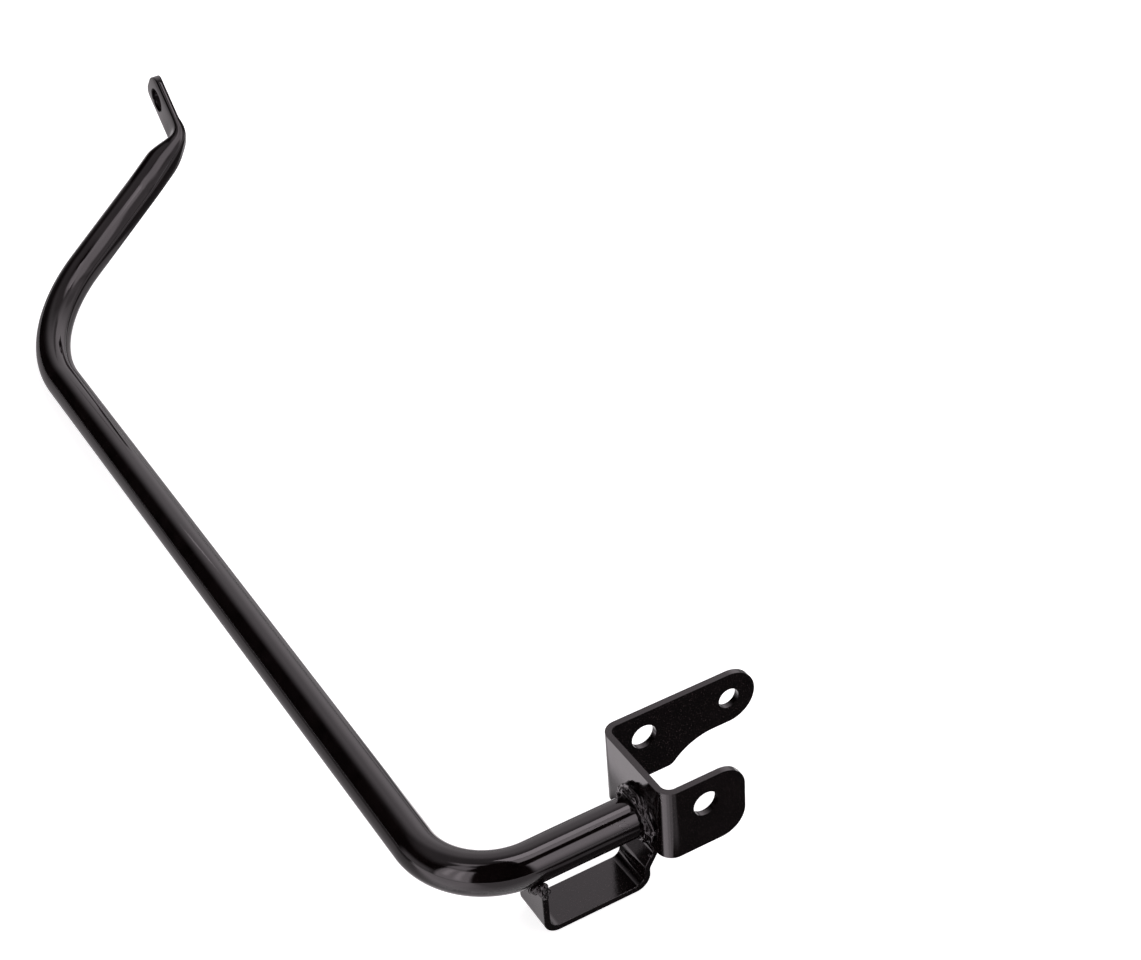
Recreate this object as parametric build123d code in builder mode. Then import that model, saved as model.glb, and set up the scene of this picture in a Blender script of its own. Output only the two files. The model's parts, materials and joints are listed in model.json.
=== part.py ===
from build123d import *
from math import cos, radians, sin, sqrt
import os

# Pannier frame: a bent tube with one end pressed flat and drilled, a folded
# bracket with two drilled ears, and a strap loop under the tube, welded together.
# Millimetres. The origin is the middle of the clevis bore, +X points towards the
# machine, +Y runs along the long tube and +Z is up.

# Tube
tube_diameter = 16.0
tube_wall = 2.0
tube_inset = 1.0              # how far the open end enters the hole in the web
tube_hole_clearance = 0.3     # gap round the tube in the web
leg_reach = 90.8              # clevis axis out to the long run
long_run = 430.4              # between the elbow's corner and the shoulder's corner
elbow_radius = 30.0
shoulder_radius = 71.0
inner_turn = 63.4             # degrees in plan, from the long run towards the machine
inner_rise = 22.4             # degrees above plan

# Flattened end
tab_plane = 13.75             # clevis axis in to the middle of the flat
flat_width = 23.0
flat_lead = 15.0              # flattening starts this far before the bend's corner
flat_run = 8.0                # and is complete this far after it
flat_bend_radius = 4.5
flat_shift = 6.5              # the flat lies this far above the tube's axis
flat_set = 1.0                # halfway pressed, the tube stands this far out of the bend
flat_fullness = 0.97          # how far the pressed section fills its corners
flat_stations = 7             # sections along the change from round to flat
tab_hole_diameter = 11.5
tab_hole_distance = 22.2      # bend's corner to the hole
tab_end_margin = 10.3         # hole to the cut end
tab_corner_radius = 7.0
seam_gap = 0.5                # between the two pressed walls
seam_depth = 1.2              # of the open seam at the cut end

# Folded bracket
sheet = 2.5
bracket_width = 43.2          # over the two ears
bracket_bend_radius = 3.5     # inside
web_setback = 17.1            # clevis axis out to the web's outer face
ear_rise = 11.25              # clevis axis up to the top edge
ear_drop = 19.6               # clevis axis down to the bottom edge
clevis_hole_diameter = 10.2
short_ear_reach = 16.2
short_ear_corner_radius = 10.0
tip_hole_diameter = 8.5
tip_hole_distance = 36.5      # clevis axis to the tip hole
neck_distance = 29.5          # clevis axis to where the neck's curve starts
neck_radius = 24.0
lobe_radius = 4.0

# Where the tube passes the bracket
tube_offset = -3.85           # tube axis from the bracket's middle, along Y
tube_drop = 9.5               # tube axis below the clevis axis

# Strap loop
strap_thickness = 2.5
strap_width = 17.4
strap_bend_radius = 3.5       # inside
loop_drop = 28.3              # tube axis down to the underside of the loop
loop_outer_reach = 62.1       # clevis axis out to the outer leg's outer face
loop_inner_reach = 18.5       # clevis axis out to the inner leg's inner face
loop_saddle = 1.2             # how far the outer leg reaches up round the tube
joggle_flat = 2.6             # straight end under the web
joggle_rise = 6.6             # height of the slanted part
joggle_radius = 3.0           # inside

# Welds
ring_leg = 4.0                # along the tube
ring_rise = 3.5               # up the web
ring_bulge = 0.5
seat_bead_radius = 1.5        # along the strap's end at the web
lump_radius = 2.2
lump_height = 9.6
lump_chamfer = 1.5
lump_outset = 1.0             # lump's middle, out from the outer leg's outer face
lump_drop = 6.2               # lump's middle below the tube axis

# Tube axis and its corners
tube_radius = tube_diameter / 2
bore_radius = tube_radius - tube_wall
web_outer = -web_setback
tube_axis_point = Vector(web_outer, tube_offset, -tube_drop)
inner_direction = Vector(
    sin(radians(inner_turn)) * cos(radians(inner_rise)),
    cos(radians(inner_turn)) * cos(radians(inner_rise)),
    sin(radians(inner_rise)),
)
tube_start = tube_axis_point + Vector(tube_inset, 0, 0)
elbow_corner = Vector(-leg_reach, tube_offset, -tube_drop)
shoulder_corner = elbow_corner + Vector(0, long_run, 0)
inner_run = (tab_plane + leg_reach) / inner_direction.X
tab_corner = shoulder_corner + inner_direction * inner_run
flat_start = tab_corner - inner_direction * flat_lead
round_fullness = 4 / 3 * (sqrt(2) - 1)  # the value that makes a circle

# The flat stands square to X and points on along the inner run
tab_direction = Vector(0, inner_direction.Y, inner_direction.Z).normalized()
flat_thickness = 2 * tube_wall + seam_gap
tab_end = tab_hole_distance + tab_end_margin
across_direction = Vector(1, 0, 0).cross(tab_direction)
tab_face = Plane(tab_corner + across_direction * flat_shift, x_dir=tab_direction, z_dir=(1, 0, 0))


def blend(start, end, share):
    return start + (end - start) * share


def round_section(plane, radius):
    """A round tube section, in four quarters that match those of a pressed section."""
    with BuildSketch(plane) as section:
        with BuildLine():
            for quarter in range(4):
                CenterArc((0, 0), radius, 90 * quarter, 90)
        make_face()
    return section.sketch.face()


def pressed_section(plane, share, radius, width, thickness):
    """A tube section pressed by a share from a circle (0) to a flat with round edges (1)."""
    edge = blend(radius, width / 2, share)
    face = blend(radius, thickness / 2, share)
    fullness = blend(round_fullness, flat_fullness, share)
    bend = edge * fullness
    rise = face * fullness
    with BuildSketch(plane) as section:
        with BuildLine():
            Bezier((edge, 0), (edge, rise), (bend, face), (0, face))
            Bezier((0, face), (-bend, face), (-edge, rise), (-edge, 0))
            Bezier((-edge, 0), (-edge, -rise), (-bend, -face), (0, -face))
            Bezier((0, -face), (bend, -face), (edge, -rise), (edge, 0))
        make_face()
    return section.sketch.face()


# Bent tube
with BuildLine() as tube_path:
    FilletPolyline(
        tube_start,
        elbow_corner,
        shoulder_corner,
        flat_start,
        radius=[elbow_radius, shoulder_radius],
    )
with BuildLine() as flat_path:
    FilletPolyline(
        flat_start,
        tab_corner,
        tab_corner + tab_direction * flat_run,
        radius=flat_bend_radius,
    )

flat_begin = Plane(flat_start, x_dir=across_direction, z_dir=flat_path.line % 0)
outer_sections = [round_section(flat_begin, tube_radius)]
bore_sections = [round_section(flat_begin, bore_radius)]
for station in range(1, flat_stations):
    travel = station / (flat_stations - 1)
    share = travel * travel * (3 - 2 * travel)
    heading = flat_path.line % travel
    outward = heading.cross(across_direction)
    middle = flat_path.line @ travel
    middle += across_direction * flat_shift * share
    middle += outward * flat_set * 4 * share * (1 - share)
    section_plane = Plane(middle, x_dir=across_direction, z_dir=heading)
    outer_sections.append(
        pressed_section(section_plane, share, tube_radius, flat_width, flat_thickness)
    )
    bore_sections.append(
        pressed_section(section_plane, share, bore_radius, flat_width - flat_thickness, seam_gap)
    )

tube_end = Plane(tube_start, x_dir=(0, 1, 0), z_dir=tube_path.line % 0)

# The tube's outer form alone, which its neighbours are cut to fit
with BuildPart() as tube_envelope:
    with BuildSketch(tube_end):
        Circle(tube_radius)
    sweep(path=tube_path.line)

with BuildPart() as bent_tube:
    with BuildSketch(tube_end):
        Circle(tube_radius)
        Circle(bore_radius, mode=Mode.SUBTRACT)
    sweep(path=tube_path.line)
    loft(sections=outer_sections)
    loft(sections=bore_sections, mode=Mode.SUBTRACT)
    extrude(outer_sections[-1], amount=tab_end - flat_run)
    with BuildSketch(tab_face):
        for side in (-1, 1):
            with Locations((tab_end - tab_corner_radius / 2, side * (flat_width - tab_corner_radius) / 2)):
                Rectangle(tab_corner_radius, tab_corner_radius)
            with Locations((tab_end - tab_corner_radius, side * (flat_width / 2 - tab_corner_radius))):
                Circle(tab_corner_radius, mode=Mode.SUBTRACT)
        with Locations((tab_hole_distance, 0)):
            Circle(tab_hole_diameter / 2)
    extrude(amount=flat_thickness, both=True, mode=Mode.SUBTRACT)
    with BuildSketch(tab_face):
        with Locations((tab_end - seam_depth / 2, 0)):
            Rectangle(seam_depth, flat_width - flat_thickness)
    extrude(amount=seam_gap / 2, both=True, mode=Mode.SUBTRACT)
bent_tube.part.label = "bent_tube"

# Folded bracket
bend_outer_radius = bracket_bend_radius + sheet
bend_end = web_outer + bend_outer_radius
fold_arm_end = bend_end + sheet
web_middle = web_outer + sheet / 2
half_width = bracket_width / 2
ear_middle = half_width - sheet / 2
ear_height = ear_rise + ear_drop
ear_level = (ear_rise - ear_drop) / 2
tip_radius = ear_rise
neck_fall = ear_drop - tip_radius
lobe_corner = neck_distance - sqrt(neck_radius**2 - (neck_radius - neck_fall) ** 2)
short_ear_length = short_ear_reach - bend_end

with BuildLine() as fold_path:
    FilletPolyline(
        (fold_arm_end, -ear_middle, ear_level),
        (web_middle, -ear_middle, ear_level),
        (web_middle, ear_middle, ear_level),
        (fold_arm_end, ear_middle, ear_level),
        radius=bracket_bend_radius + sheet / 2,
    )

with BuildPart() as u_bracket:
    with BuildSketch(Plane(fold_path.line @ 0, x_dir=(0, 0, 1), z_dir=fold_path.line % 0)):
        Rectangle(ear_height, sheet)
    sweep(path=fold_path.line)
    with BuildSketch(Plane.XZ.offset(half_width)) as short_ear:
        with Locations((bend_end + short_ear_length / 2, ear_level)):
            Rectangle(short_ear_length, ear_height)
        fillet(short_ear.vertices().group_by(Axis.X)[-1], short_ear_corner_radius)
    extrude(amount=-sheet)
    with BuildSketch(Plane.XZ.offset(-half_width)) as long_ear:
        with BuildLine():
            Polyline(
                (lobe_corner, -ear_drop),
                (bend_end, -ear_drop),
                (bend_end, ear_rise),
                (tip_hole_distance, ear_rise),
            )
            ThreePointArc(
                (tip_hole_distance, ear_rise),
                (tip_hole_distance + tip_radius, 0),
                (tip_hole_distance, -tip_radius),
            )
            Line((tip_hole_distance, -tip_radius), (neck_distance, -tip_radius))
            TangentArc((neck_distance, -tip_radius), (lobe_corner, -ear_drop), tangent=(-1, 0))
        make_face()
        fillet(long_ear.vertices().sort_by_distance((lobe_corner, -ear_drop))[0], lobe_radius)
    extrude(amount=sheet)
    with BuildSketch(Plane.XZ):
        Circle(clevis_hole_diameter / 2)
        with Locations((tip_hole_distance, 0)):
            Circle(tip_hole_diameter / 2)
    extrude(amount=half_width, both=True, mode=Mode.SUBTRACT)
    with BuildSketch(Plane.YZ.offset(web_outer)):
        with Locations((tube_offset, -tube_drop)):
            Circle(tube_radius + tube_hole_clearance)
    extrude(amount=sheet, mode=Mode.SUBTRACT)
u_bracket.part.label = "u_bracket"

# Strap loop, from the tube by the elbow down, across and up to the web's lower edge
outer_leg_middle = strap_thickness / 2 - loop_outer_reach
inner_leg_middle = -strap_thickness / 2 - loop_inner_reach
strap_end_middle = web_outer + strap_thickness / 2
loop_floor = strap_thickness / 2 - tube_drop - loop_drop
joggle_top = -ear_drop - joggle_flat
strap_start = loop_saddle - tube_drop - tube_radius

with BuildLine() as strap_path:
    FilletPolyline(
        (outer_leg_middle, tube_offset, strap_start),
        (outer_leg_middle, tube_offset, loop_floor),
        (inner_leg_middle, tube_offset, loop_floor),
        (inner_leg_middle, tube_offset, joggle_top - joggle_rise),
        (strap_end_middle, tube_offset, joggle_top),
        (strap_end_middle, tube_offset, -ear_drop),
        radius=[
            strap_bend_radius + strap_thickness / 2,
            strap_bend_radius + strap_thickness / 2,
            joggle_radius + strap_thickness / 2,
            joggle_radius + strap_thickness / 2,
        ],
    )

with BuildPart() as strap_loop:
    with BuildSketch(Plane(strap_path.line @ 0, x_dir=(0, 1, 0), z_dir=strap_path.line % 0)):
        Rectangle(strap_width, strap_thickness)
    sweep(path=strap_path.line)
    add(tube_envelope.part, mode=Mode.SUBTRACT)
strap_loop.part.label = "strap_loop"

# Weld round the tube at the web, run out along the strap's end
ring_plane = Plane(tube_axis_point, x_dir=(-1, 0, 0), z_dir=(0, -1, 0))

with BuildPart() as web_weld:
    with BuildSketch(ring_plane):
        with BuildLine():
            Polyline(
                (0, tube_radius),
                (ring_leg, tube_radius),
                (ring_leg / 2 + ring_bulge, tube_radius + ring_rise / 2 + ring_bulge),
                (0, tube_radius + ring_rise),
                close=True,
            )
        make_face()
    revolve(axis=Axis(tube_axis_point, (1, 0, 0)))
    with BuildSketch(Plane.XZ.offset(-tube_offset)):
        with BuildLine():
            Line((web_outer, -ear_drop - seat_bead_radius), (web_outer, -ear_drop + seat_bead_radius))
            ThreePointArc(
                (web_outer, -ear_drop + seat_bead_radius),
                (web_outer - seat_bead_radius, -ear_drop),
                (web_outer, -ear_drop - seat_bead_radius),
            )
        make_face()
    extrude(amount=strap_width / 2, both=True)
    add(tube_envelope.part, mode=Mode.SUBTRACT)
    add(strap_loop.part, mode=Mode.SUBTRACT)
web_weld.part.label = "web_weld"

# Weld lump between the tube's front and the outer leg
lump_middle = Vector(
    -loop_outer_reach - lump_outset,
    tube_offset - strap_width / 2,
    -tube_drop - lump_drop,
)
lump_plane = Plane(lump_middle, x_dir=(-1, 0, 0), z_dir=(0, -1, 0))

with BuildPart() as loop_weld:
    with BuildSketch(lump_plane) as lump_half:
        Rectangle(lump_radius, lump_height, align=(Align.MIN, Align.CENTER))
        chamfer(lump_half.vertices().group_by(Axis.X)[-1], lump_chamfer)
    revolve(axis=Axis(lump_middle, (0, 0, 1)))
    add(tube_envelope.part, mode=Mode.SUBTRACT)
    add(strap_loop.part, mode=Mode.SUBTRACT)
loop_weld.part.label = "loop_weld"

os.makedirs("parts", exist_ok=True)
for piece in (bent_tube, u_bracket, strap_loop, web_weld, loop_weld):
    export_step(piece.part, f"parts/{piece.part.label}.step")
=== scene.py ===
import json
from collections import namedtuple
from math import acos, atan2, cos, hypot, pi, radians, sin, sqrt, tan

import bmesh
import bpy
from bpy.props import FloatProperty, FloatVectorProperty, IntProperty, PointerProperty
from mathutils import Matrix, Vector
from mathutils.noise import noise as lumpiness


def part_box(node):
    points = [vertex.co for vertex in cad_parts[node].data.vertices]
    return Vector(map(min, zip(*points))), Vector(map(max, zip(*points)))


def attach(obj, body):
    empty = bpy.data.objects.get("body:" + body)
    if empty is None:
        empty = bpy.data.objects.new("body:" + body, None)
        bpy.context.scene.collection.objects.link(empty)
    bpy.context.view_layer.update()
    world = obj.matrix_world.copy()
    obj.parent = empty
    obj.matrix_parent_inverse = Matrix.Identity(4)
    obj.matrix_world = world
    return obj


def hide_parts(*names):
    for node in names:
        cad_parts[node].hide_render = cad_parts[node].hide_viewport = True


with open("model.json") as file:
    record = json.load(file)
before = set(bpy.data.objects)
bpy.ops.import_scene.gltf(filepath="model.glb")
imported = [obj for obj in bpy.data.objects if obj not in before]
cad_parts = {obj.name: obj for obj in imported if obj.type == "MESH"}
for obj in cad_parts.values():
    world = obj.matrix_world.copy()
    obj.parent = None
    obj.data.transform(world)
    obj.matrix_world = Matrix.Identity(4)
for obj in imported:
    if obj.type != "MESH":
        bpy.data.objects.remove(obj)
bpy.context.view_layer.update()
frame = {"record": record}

bl_info = {
    "name": "Pannier Frame",
    "version": (1, 0, 0),
    "blender": (4, 5, 0),
    "location": "3D View > Sidebar > Pannier Frame",
    "description": "Models a black welded pannier frame: bent tube, folded bracket, strap loop and welds",
    "category": "Add Mesh",
}

MM = 0.001
TUBE_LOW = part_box("bent_tube")[0]
BRACKET_LOW, BRACKET_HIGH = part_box("u_bracket")
STRAP_LOW, STRAP_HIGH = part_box("strap_loop")
MOUNTS = {mount["name"]: mount for mount in frame["record"]["mounts"]}
WELD_TOLERANCE = 0.002 * MM
PLACE_TOLERANCE = 0.01 * MM

TubeRoute = namedtuple("TubeRoute", "start elbow shoulder tab heading flat_heading across flat_start")


def length(label, about, millimetres):
    """A length that the user can change, given here in millimetres."""
    return FloatProperty(
        name=label, description=about, default=millimetres * MM, subtype="DISTANCE", precision=5)


def angle(label, about, default):
    """An angle that the user can change, given here in degrees."""
    return FloatProperty(name=label, description=about, default=radians(default), subtype="ANGLE")


def factor(label, about, default, low, high):
    """A share that the user can change within limits."""
    return FloatProperty(
        name=label, description=about, default=default, min=low, max=high, subtype="FACTOR")


def count(label, about, default, low):
    """A whole number that the user can change."""
    return IntProperty(name=label, description=about, default=default, min=low)


def colour(label, about, default):
    """A colour that the user can change."""
    return FloatVectorProperty(
        name=label, description=about, default=default, subtype="COLOR", size=3, min=0, max=1)


def hole_radius(mount):
    return MOUNTS[mount]["dims"]["r_mm"] * MM


class PannierTube(bpy.types.PropertyGroup):
    """Sizes of the bent tube and its pressed end."""
    radius: length("Radius", "Outside radius of the tube", 8)
    wall: length("Wall", "Thickness of the tube's wall", 2)
    inset: length("Inset", "How far the open end enters the web's hole", 1)
    long_run: length("Long Run", "From the elbow's corner to the shoulder's", 430.4)
    elbow_radius: length("Elbow Radius", "Radius of the tube's axis at the elbow", 30)
    shoulder_radius: length("Shoulder Radius", "Radius of the tube's axis at the shoulder", 71)
    inner_turn: angle("Inner Turn", "Turn in plan from the long run to the inner run", 63.4)
    inner_rise: angle("Inner Rise", "Climb of the inner run", 22.4)
    flat_width: length("Flat Width", "Width of the pressed end", 23)
    flare_lead: length("Flare Lead", "Start of the widening before the bend's corner", 34)
    flat_lead: length("Flat Lead", "Start of the pressing before the bend's corner", 16)
    flat_run: length("Flat Run", "End of the pressing after the bend's corner", 8)
    flat_bend_radius: length("Flat Bend", "Bend radius where the flat turns upright", 8)
    flat_shift: length("Flat Shift", "How far the flat lies above the tube's axis", 6.5)
    flat_set: length("Flat Set", "How far the half-pressed tube stands out of the bend", 1)
    edge_fullness: factor("Edge Fullness", "How square the flat's long edges are", 0.74, 0.55, 1)
    hole_distance: length("Hole Distance", "From the bend's corner to the hole", 22.2)
    end_margin: length("End Margin", "From the hole to the cut end", 10.3)
    corner_radius: length("Corner Radius", "Radius of the flat's cut corners", 8)
    end_round: length("End Round", "Rounding of the painted edges at the cut end", 0.3)
    seam_gap: length("Seam Gap", "Between the two pressed walls", 0.5)
    seam_depth: length("Seam Depth", "Depth of the open seam at the cut end", 1.2)
    facets: count("Facets", "Sides of the round tube", 96, 16)
    bend_steps: count("Bend Steps", "Steps in a bend of the tube", 48, 4)
    press_steps: count("Press Steps", "Sections from round to flat", 56, 4)


class PannierBracket(bpy.types.PropertyGroup):
    """Sizes of the folded bracket."""
    sheet: length("Sheet", "Thickness of the sheet", 2.5)
    bend_radius: length("Bend Radius", "Inside radius of the folds", 3.5)
    tube_clearance: length("Tube Clearance", "Gap round the tube in the web", 0.3)
    short_reach: length("Short Ear", "From the clevis axis to the short ear's end", 16.2)
    short_corner: length("Short Ear Corner", "Corner radius of the short ear", 10)
    neck_distance: length("Neck", "From the clevis axis to the start of the neck's curve", 29.5)
    neck_radius: length("Neck Radius", "Radius of the hollow curve under the long ear", 24)
    lobe_radius: length("Lobe Radius", "Radius where the neck meets the bottom edge", 4)
    edge_round: length("Edge Round", "Rounding of the painted edges", 0.35)
    rim: length("Rim", "Width of the faces that border each edge", 0.8)


class PannierStrap(bpy.types.PropertyGroup):
    """Sizes of the strap loop."""
    thickness: length("Thickness", "Thickness of the strip", 2.5)
    bend_radius: length("Bend Radius", "Inside radius of the loop's corners", 3.5)
    inner_reach: length("Inner Leg", "From the clevis axis to the inner leg", 18.5)
    joggle_flat: length("Joggle Flat", "Straight end under the web", 2.6)
    joggle_rise: length("Joggle Rise", "Height of the slanted part", 6.6)
    joggle_radius: length("Joggle Radius", "Inside radius of the joggle", 3)
    edge_round: length("Edge Round", "Rounding of the painted edges", 0.35)


class PannierWelds(bpy.types.PropertyGroup):
    """Sizes of the welds."""
    ring_bead: length("Ring Bead", "Radius of the bead round the tube", 2.9)
    ring_spread: length("Ring Spread", "How far the bead's middle lies outside the tube", 0.8)
    ring_setout: length("Ring Setout", "How far the bead's middle lies off the web", 0.7)
    ring_thin: factor("Ring Thin", "Size of the bead under the tube, against the top", 0.72, 0.2, 1)
    wrinkles: factor("Wrinkles", "Depth of the long wrinkles, against the bead's radius", 0.24, 0, 0.5)
    lumps: factor("Lumps", "Height of the lumps, against the bead's radius", 0.16, 0, 0.5)
    pits: factor("Pits", "Depth of the pits, against the bead's radius", 0.5, 0, 1)
    facet_depth: length("Facet Depth", "How far the flat facet near the top cuts the bead", 0.4)
    blob_radius: length("Blob Radius", "Radius of the blob at the bead's front end", 1.3)
    drip_radius: length("Drip Radius", "Radius of the drip on the strip", 0.9)
    voxel: length("Voxel", "Grain at which the drops of a weld are run together", 0.13)


class PannierFinish(bpy.types.PropertyGroup):
    """Colours of the powder coat."""
    coat: colour("Coat", "Colour of the powder coat", (0.0012, 0.0006, 0.0006))
    coat_worn: colour("Thin Coat", "Colour where the coat is thin", (0.0040, 0.0026, 0.0027))
    speck: colour("Speck", "Colour of the fine specks in the coat", (0.045, 0.032, 0.033))
    floor: colour("Floor", "Colour of the floor", (0.62, 0.62, 0.62))


# Drawing helpers

def deselect():
    bpy.ops.object.select_all(action="DESELECT")


def edit_all():
    """Opens the active object in edit mode with all of it selected."""
    bpy.ops.object.mode_set(mode="EDIT")
    bpy.ops.mesh.select_all(action="SELECT")


def end_edit():
    bpy.ops.object.mode_set(mode="OBJECT")


def begin_point(name, place):
    """A new object that is a single point, left in edit mode with the point selected."""
    bpy.ops.mesh.primitive_plane_add(size=MM)
    piece = bpy.context.object
    piece.name = piece.data.name = name
    bpy.ops.object.mode_set(mode="EDIT")
    bpy.ops.mesh.select_mode(type="VERT")
    bpy.ops.mesh.select_all(action="SELECT")
    bpy.ops.mesh.merge(type="CENTER")
    bpy.ops.transform.translate(value=place)
    return piece


def extrude(step):
    bpy.ops.mesh.extrude_region_move(TRANSFORM_OT_translate={"value": step})


def arc(middle, axis, turn, steps):
    """Spins the selection right-handed about an axis; the spin operator itself turns left-handed."""
    bpy.ops.mesh.spin(steps=steps, angle=-turn, center=middle, axis=axis)


def follow(points, radii, steps):
    """Draws the selection out along straight runs, with a bend of given radius at each corner."""
    reached = points[0]
    for corner, onward, radius in zip(points[1:], points[2:], radii):
        before = (corner - reached).normalized()
        after = (onward - corner).normalized()
        turn = before.angle(after)
        setback = radius * tan(turn / 2)
        bend_start = corner - before * setback
        toward = (after - before * before.dot(after)).normalized()
        extrude(bend_start - reached)
        arc(bend_start + toward * radius, before.cross(after).normalized(), turn, steps)
        reached = corner + after * setback
    extrude(points[-1] - reached)


def near(first, second):
    return abs(first - second) < PLACE_TOLERANCE


def select_only(kind, test):
    """Selects, in edit mode, just the points, edges or faces that pass a test."""
    bpy.ops.mesh.select_mode(type=kind)
    bpy.ops.mesh.select_all(action="DESELECT")
    mesh = bmesh.from_edit_mesh(bpy.context.object.data)
    for part in {"VERT": mesh.verts, "EDGE": mesh.edges, "FACE": mesh.faces}[kind]:
        if test(part):
            part.select_set(True)
    bmesh.update_edit_mesh(bpy.context.object.data)


def select_point(place):
    select_only("VERT", lambda point: near((point.co - place).length, 0))


def select_edges(test):
    """Selects just the edges whose two ends both pass a test of their place."""
    select_only("EDGE", lambda edge: all(test(end.co) for end in edge.verts))


def ring_in_edit(radius, place, turn, facets):
    """Adds a plain circle to the mesh that is being edited."""
    bpy.ops.mesh.select_all(action="DESELECT")
    bpy.ops.mesh.primitive_circle_add(vertices=facets, radius=radius, location=place, rotation=turn)


def merge_doubles():
    """Selects all that is being edited and merges its doubled points."""
    bpy.ops.mesh.select_all(action="SELECT")
    bpy.ops.mesh.remove_doubles(threshold=WELD_TOLERANCE)


def close_edit(piece, outward=None):
    """Merges doubled points, turns the normals to one side and leaves edit mode."""
    merge_doubles()
    bpy.ops.mesh.normals_make_consistent(inside=False)
    if outward and not outward(bmesh.from_edit_mesh(piece.data)):
        bpy.ops.mesh.flip_normals()
    end_edit()


def pick(piece):
    deselect()
    piece.select_set(True)
    bpy.context.view_layer.objects.active = piece


def modify(piece, kind, **settings):
    """Gives a piece a modifier and applies it."""
    modifier = piece.modifiers.new(kind.title(), kind)
    for name, value in settings.items():
        setattr(modifier, name, value)
    pick(piece)
    bpy.ops.object.modifier_apply(modifier=modifier.name)


def cut(piece, cutter):
    """Cuts another object out of a piece, and removes it."""
    modify(piece, "BOOLEAN", operation="DIFFERENCE", object=cutter, solver="EXACT")
    bpy.data.objects.remove(cutter, do_unlink=True)


def settle(piece):
    """Puts a new object's place and turn into its mesh."""
    pick(piece)
    bpy.ops.object.transform_apply(location=True, rotation=True, scale=True)
    return piece


def new_ring(radius, place, facets):
    """A new object that is a circle square to X."""
    bpy.ops.mesh.primitive_circle_add(
        vertices=facets, radius=radius, location=place, rotation=(0, pi / 2, 0))
    return settle(bpy.context.object)


def join(pieces):
    deselect()
    for piece in pieces:
        piece.select_set(True)
    bpy.context.view_layer.objects.active = pieces[0]
    bpy.ops.object.join()
    return pieces[0]


def smooth(piece, sharp):
    """Shades a piece smooth, apart from edges sharper than an angle in degrees."""
    pick(piece)
    bpy.ops.object.shade_smooth_by_angle(angle=radians(sharp))


def finish_sheet(piece, edge_round):
    """Rounds the painted edges of a sheet and evens its shading."""
    modify(piece, "BEVEL", width=edge_round, segments=3, limit_method="ANGLE", angle_limit=radians(60))
    smooth(piece, sharp=50)
    modify(piece, "WEIGHTED_NORMAL", keep_sharp=True)


def hand_over(piece, node, material):
    """Gives a finished piece its material and its place in the frame."""
    piece.data.materials.clear()
    piece.data.materials.append(material)
    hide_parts(node)
    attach(piece, "root")


# Node helpers

def add_node(tree, kind, inputs=(), **settings):
    """A new shader node, with a value or a link from a socket for each input that is given."""
    made = tree.nodes.new("ShaderNode" + kind)
    for name, value in settings.items():
        setattr(made, name, value)
    for name, value in dict(inputs).items():
        if isinstance(value, bpy.types.NodeSocket):
            tree.links.new(value, made.inputs[name])
        else:
            made.inputs[name].default_value = value
    return made


def figure(tree, operation, first, second):
    """A Math node on two values, each a number or a socket."""
    return add_node(tree, "Math", {0: first, 1: second}, operation=operation).outputs[0]


def ease(tree, value, start, end):
    """Goes smoothly from nought at the start to one at the end."""
    limits = {"Value": value, "From Min": start, "From Max": end}
    return add_node(tree, "MapRange", limits, interpolation_type="SMOOTHSTEP").outputs["Result"]


def span(tree, value, low, high, soft, high_soft=None):
    """One between two limits and nought outside them, with soft edges."""
    high_soft = soft if high_soft is None else high_soft
    return figure(
        tree, "MULTIPLY", ease(tree, value, low - soft, low + soft),
        ease(tree, value, high + high_soft, high - high_soft))


def ranged(tree, value, low, high):
    """Spreads a texture's middle values over a range."""
    limits = {"Value": value, "From Min": 0.3, "From Max": 0.7, "To Min": low, "To Max": high}
    return add_node(tree, "MapRange", limits).outputs["Result"]


def noise(tree, place, size, detail):
    return add_node(tree, "TexNoise", {"Vector": place, "Scale": 1 / size, "Detail": detail}).outputs["Fac"]


def mixed(tree, share, first, second):
    """Goes from one colour to another by a share."""
    inputs = {"Factor": share, "A": first, "B": second}
    return add_node(tree, "Mix", inputs, data_type="RGBA").outputs["Result"]


def bump(tree, height, depth, under=()):
    """Raises the surface by a texture, over any bump that is under it."""
    inputs = {"Strength": 1, "Distance": depth, "Height": height, **dict(under)}
    return add_node(tree, "Bump", inputs).outputs["Normal"]


# Powder coat

CLOUD_SIZE = 9 * MM
SPECK_SIZE = 0.45 * MM
SPECK_RANGE = (0.63, 0.75)
FLECK_SIZE = 0.6 * MM
GRAIN_SIZE = 0.35 * MM


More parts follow.
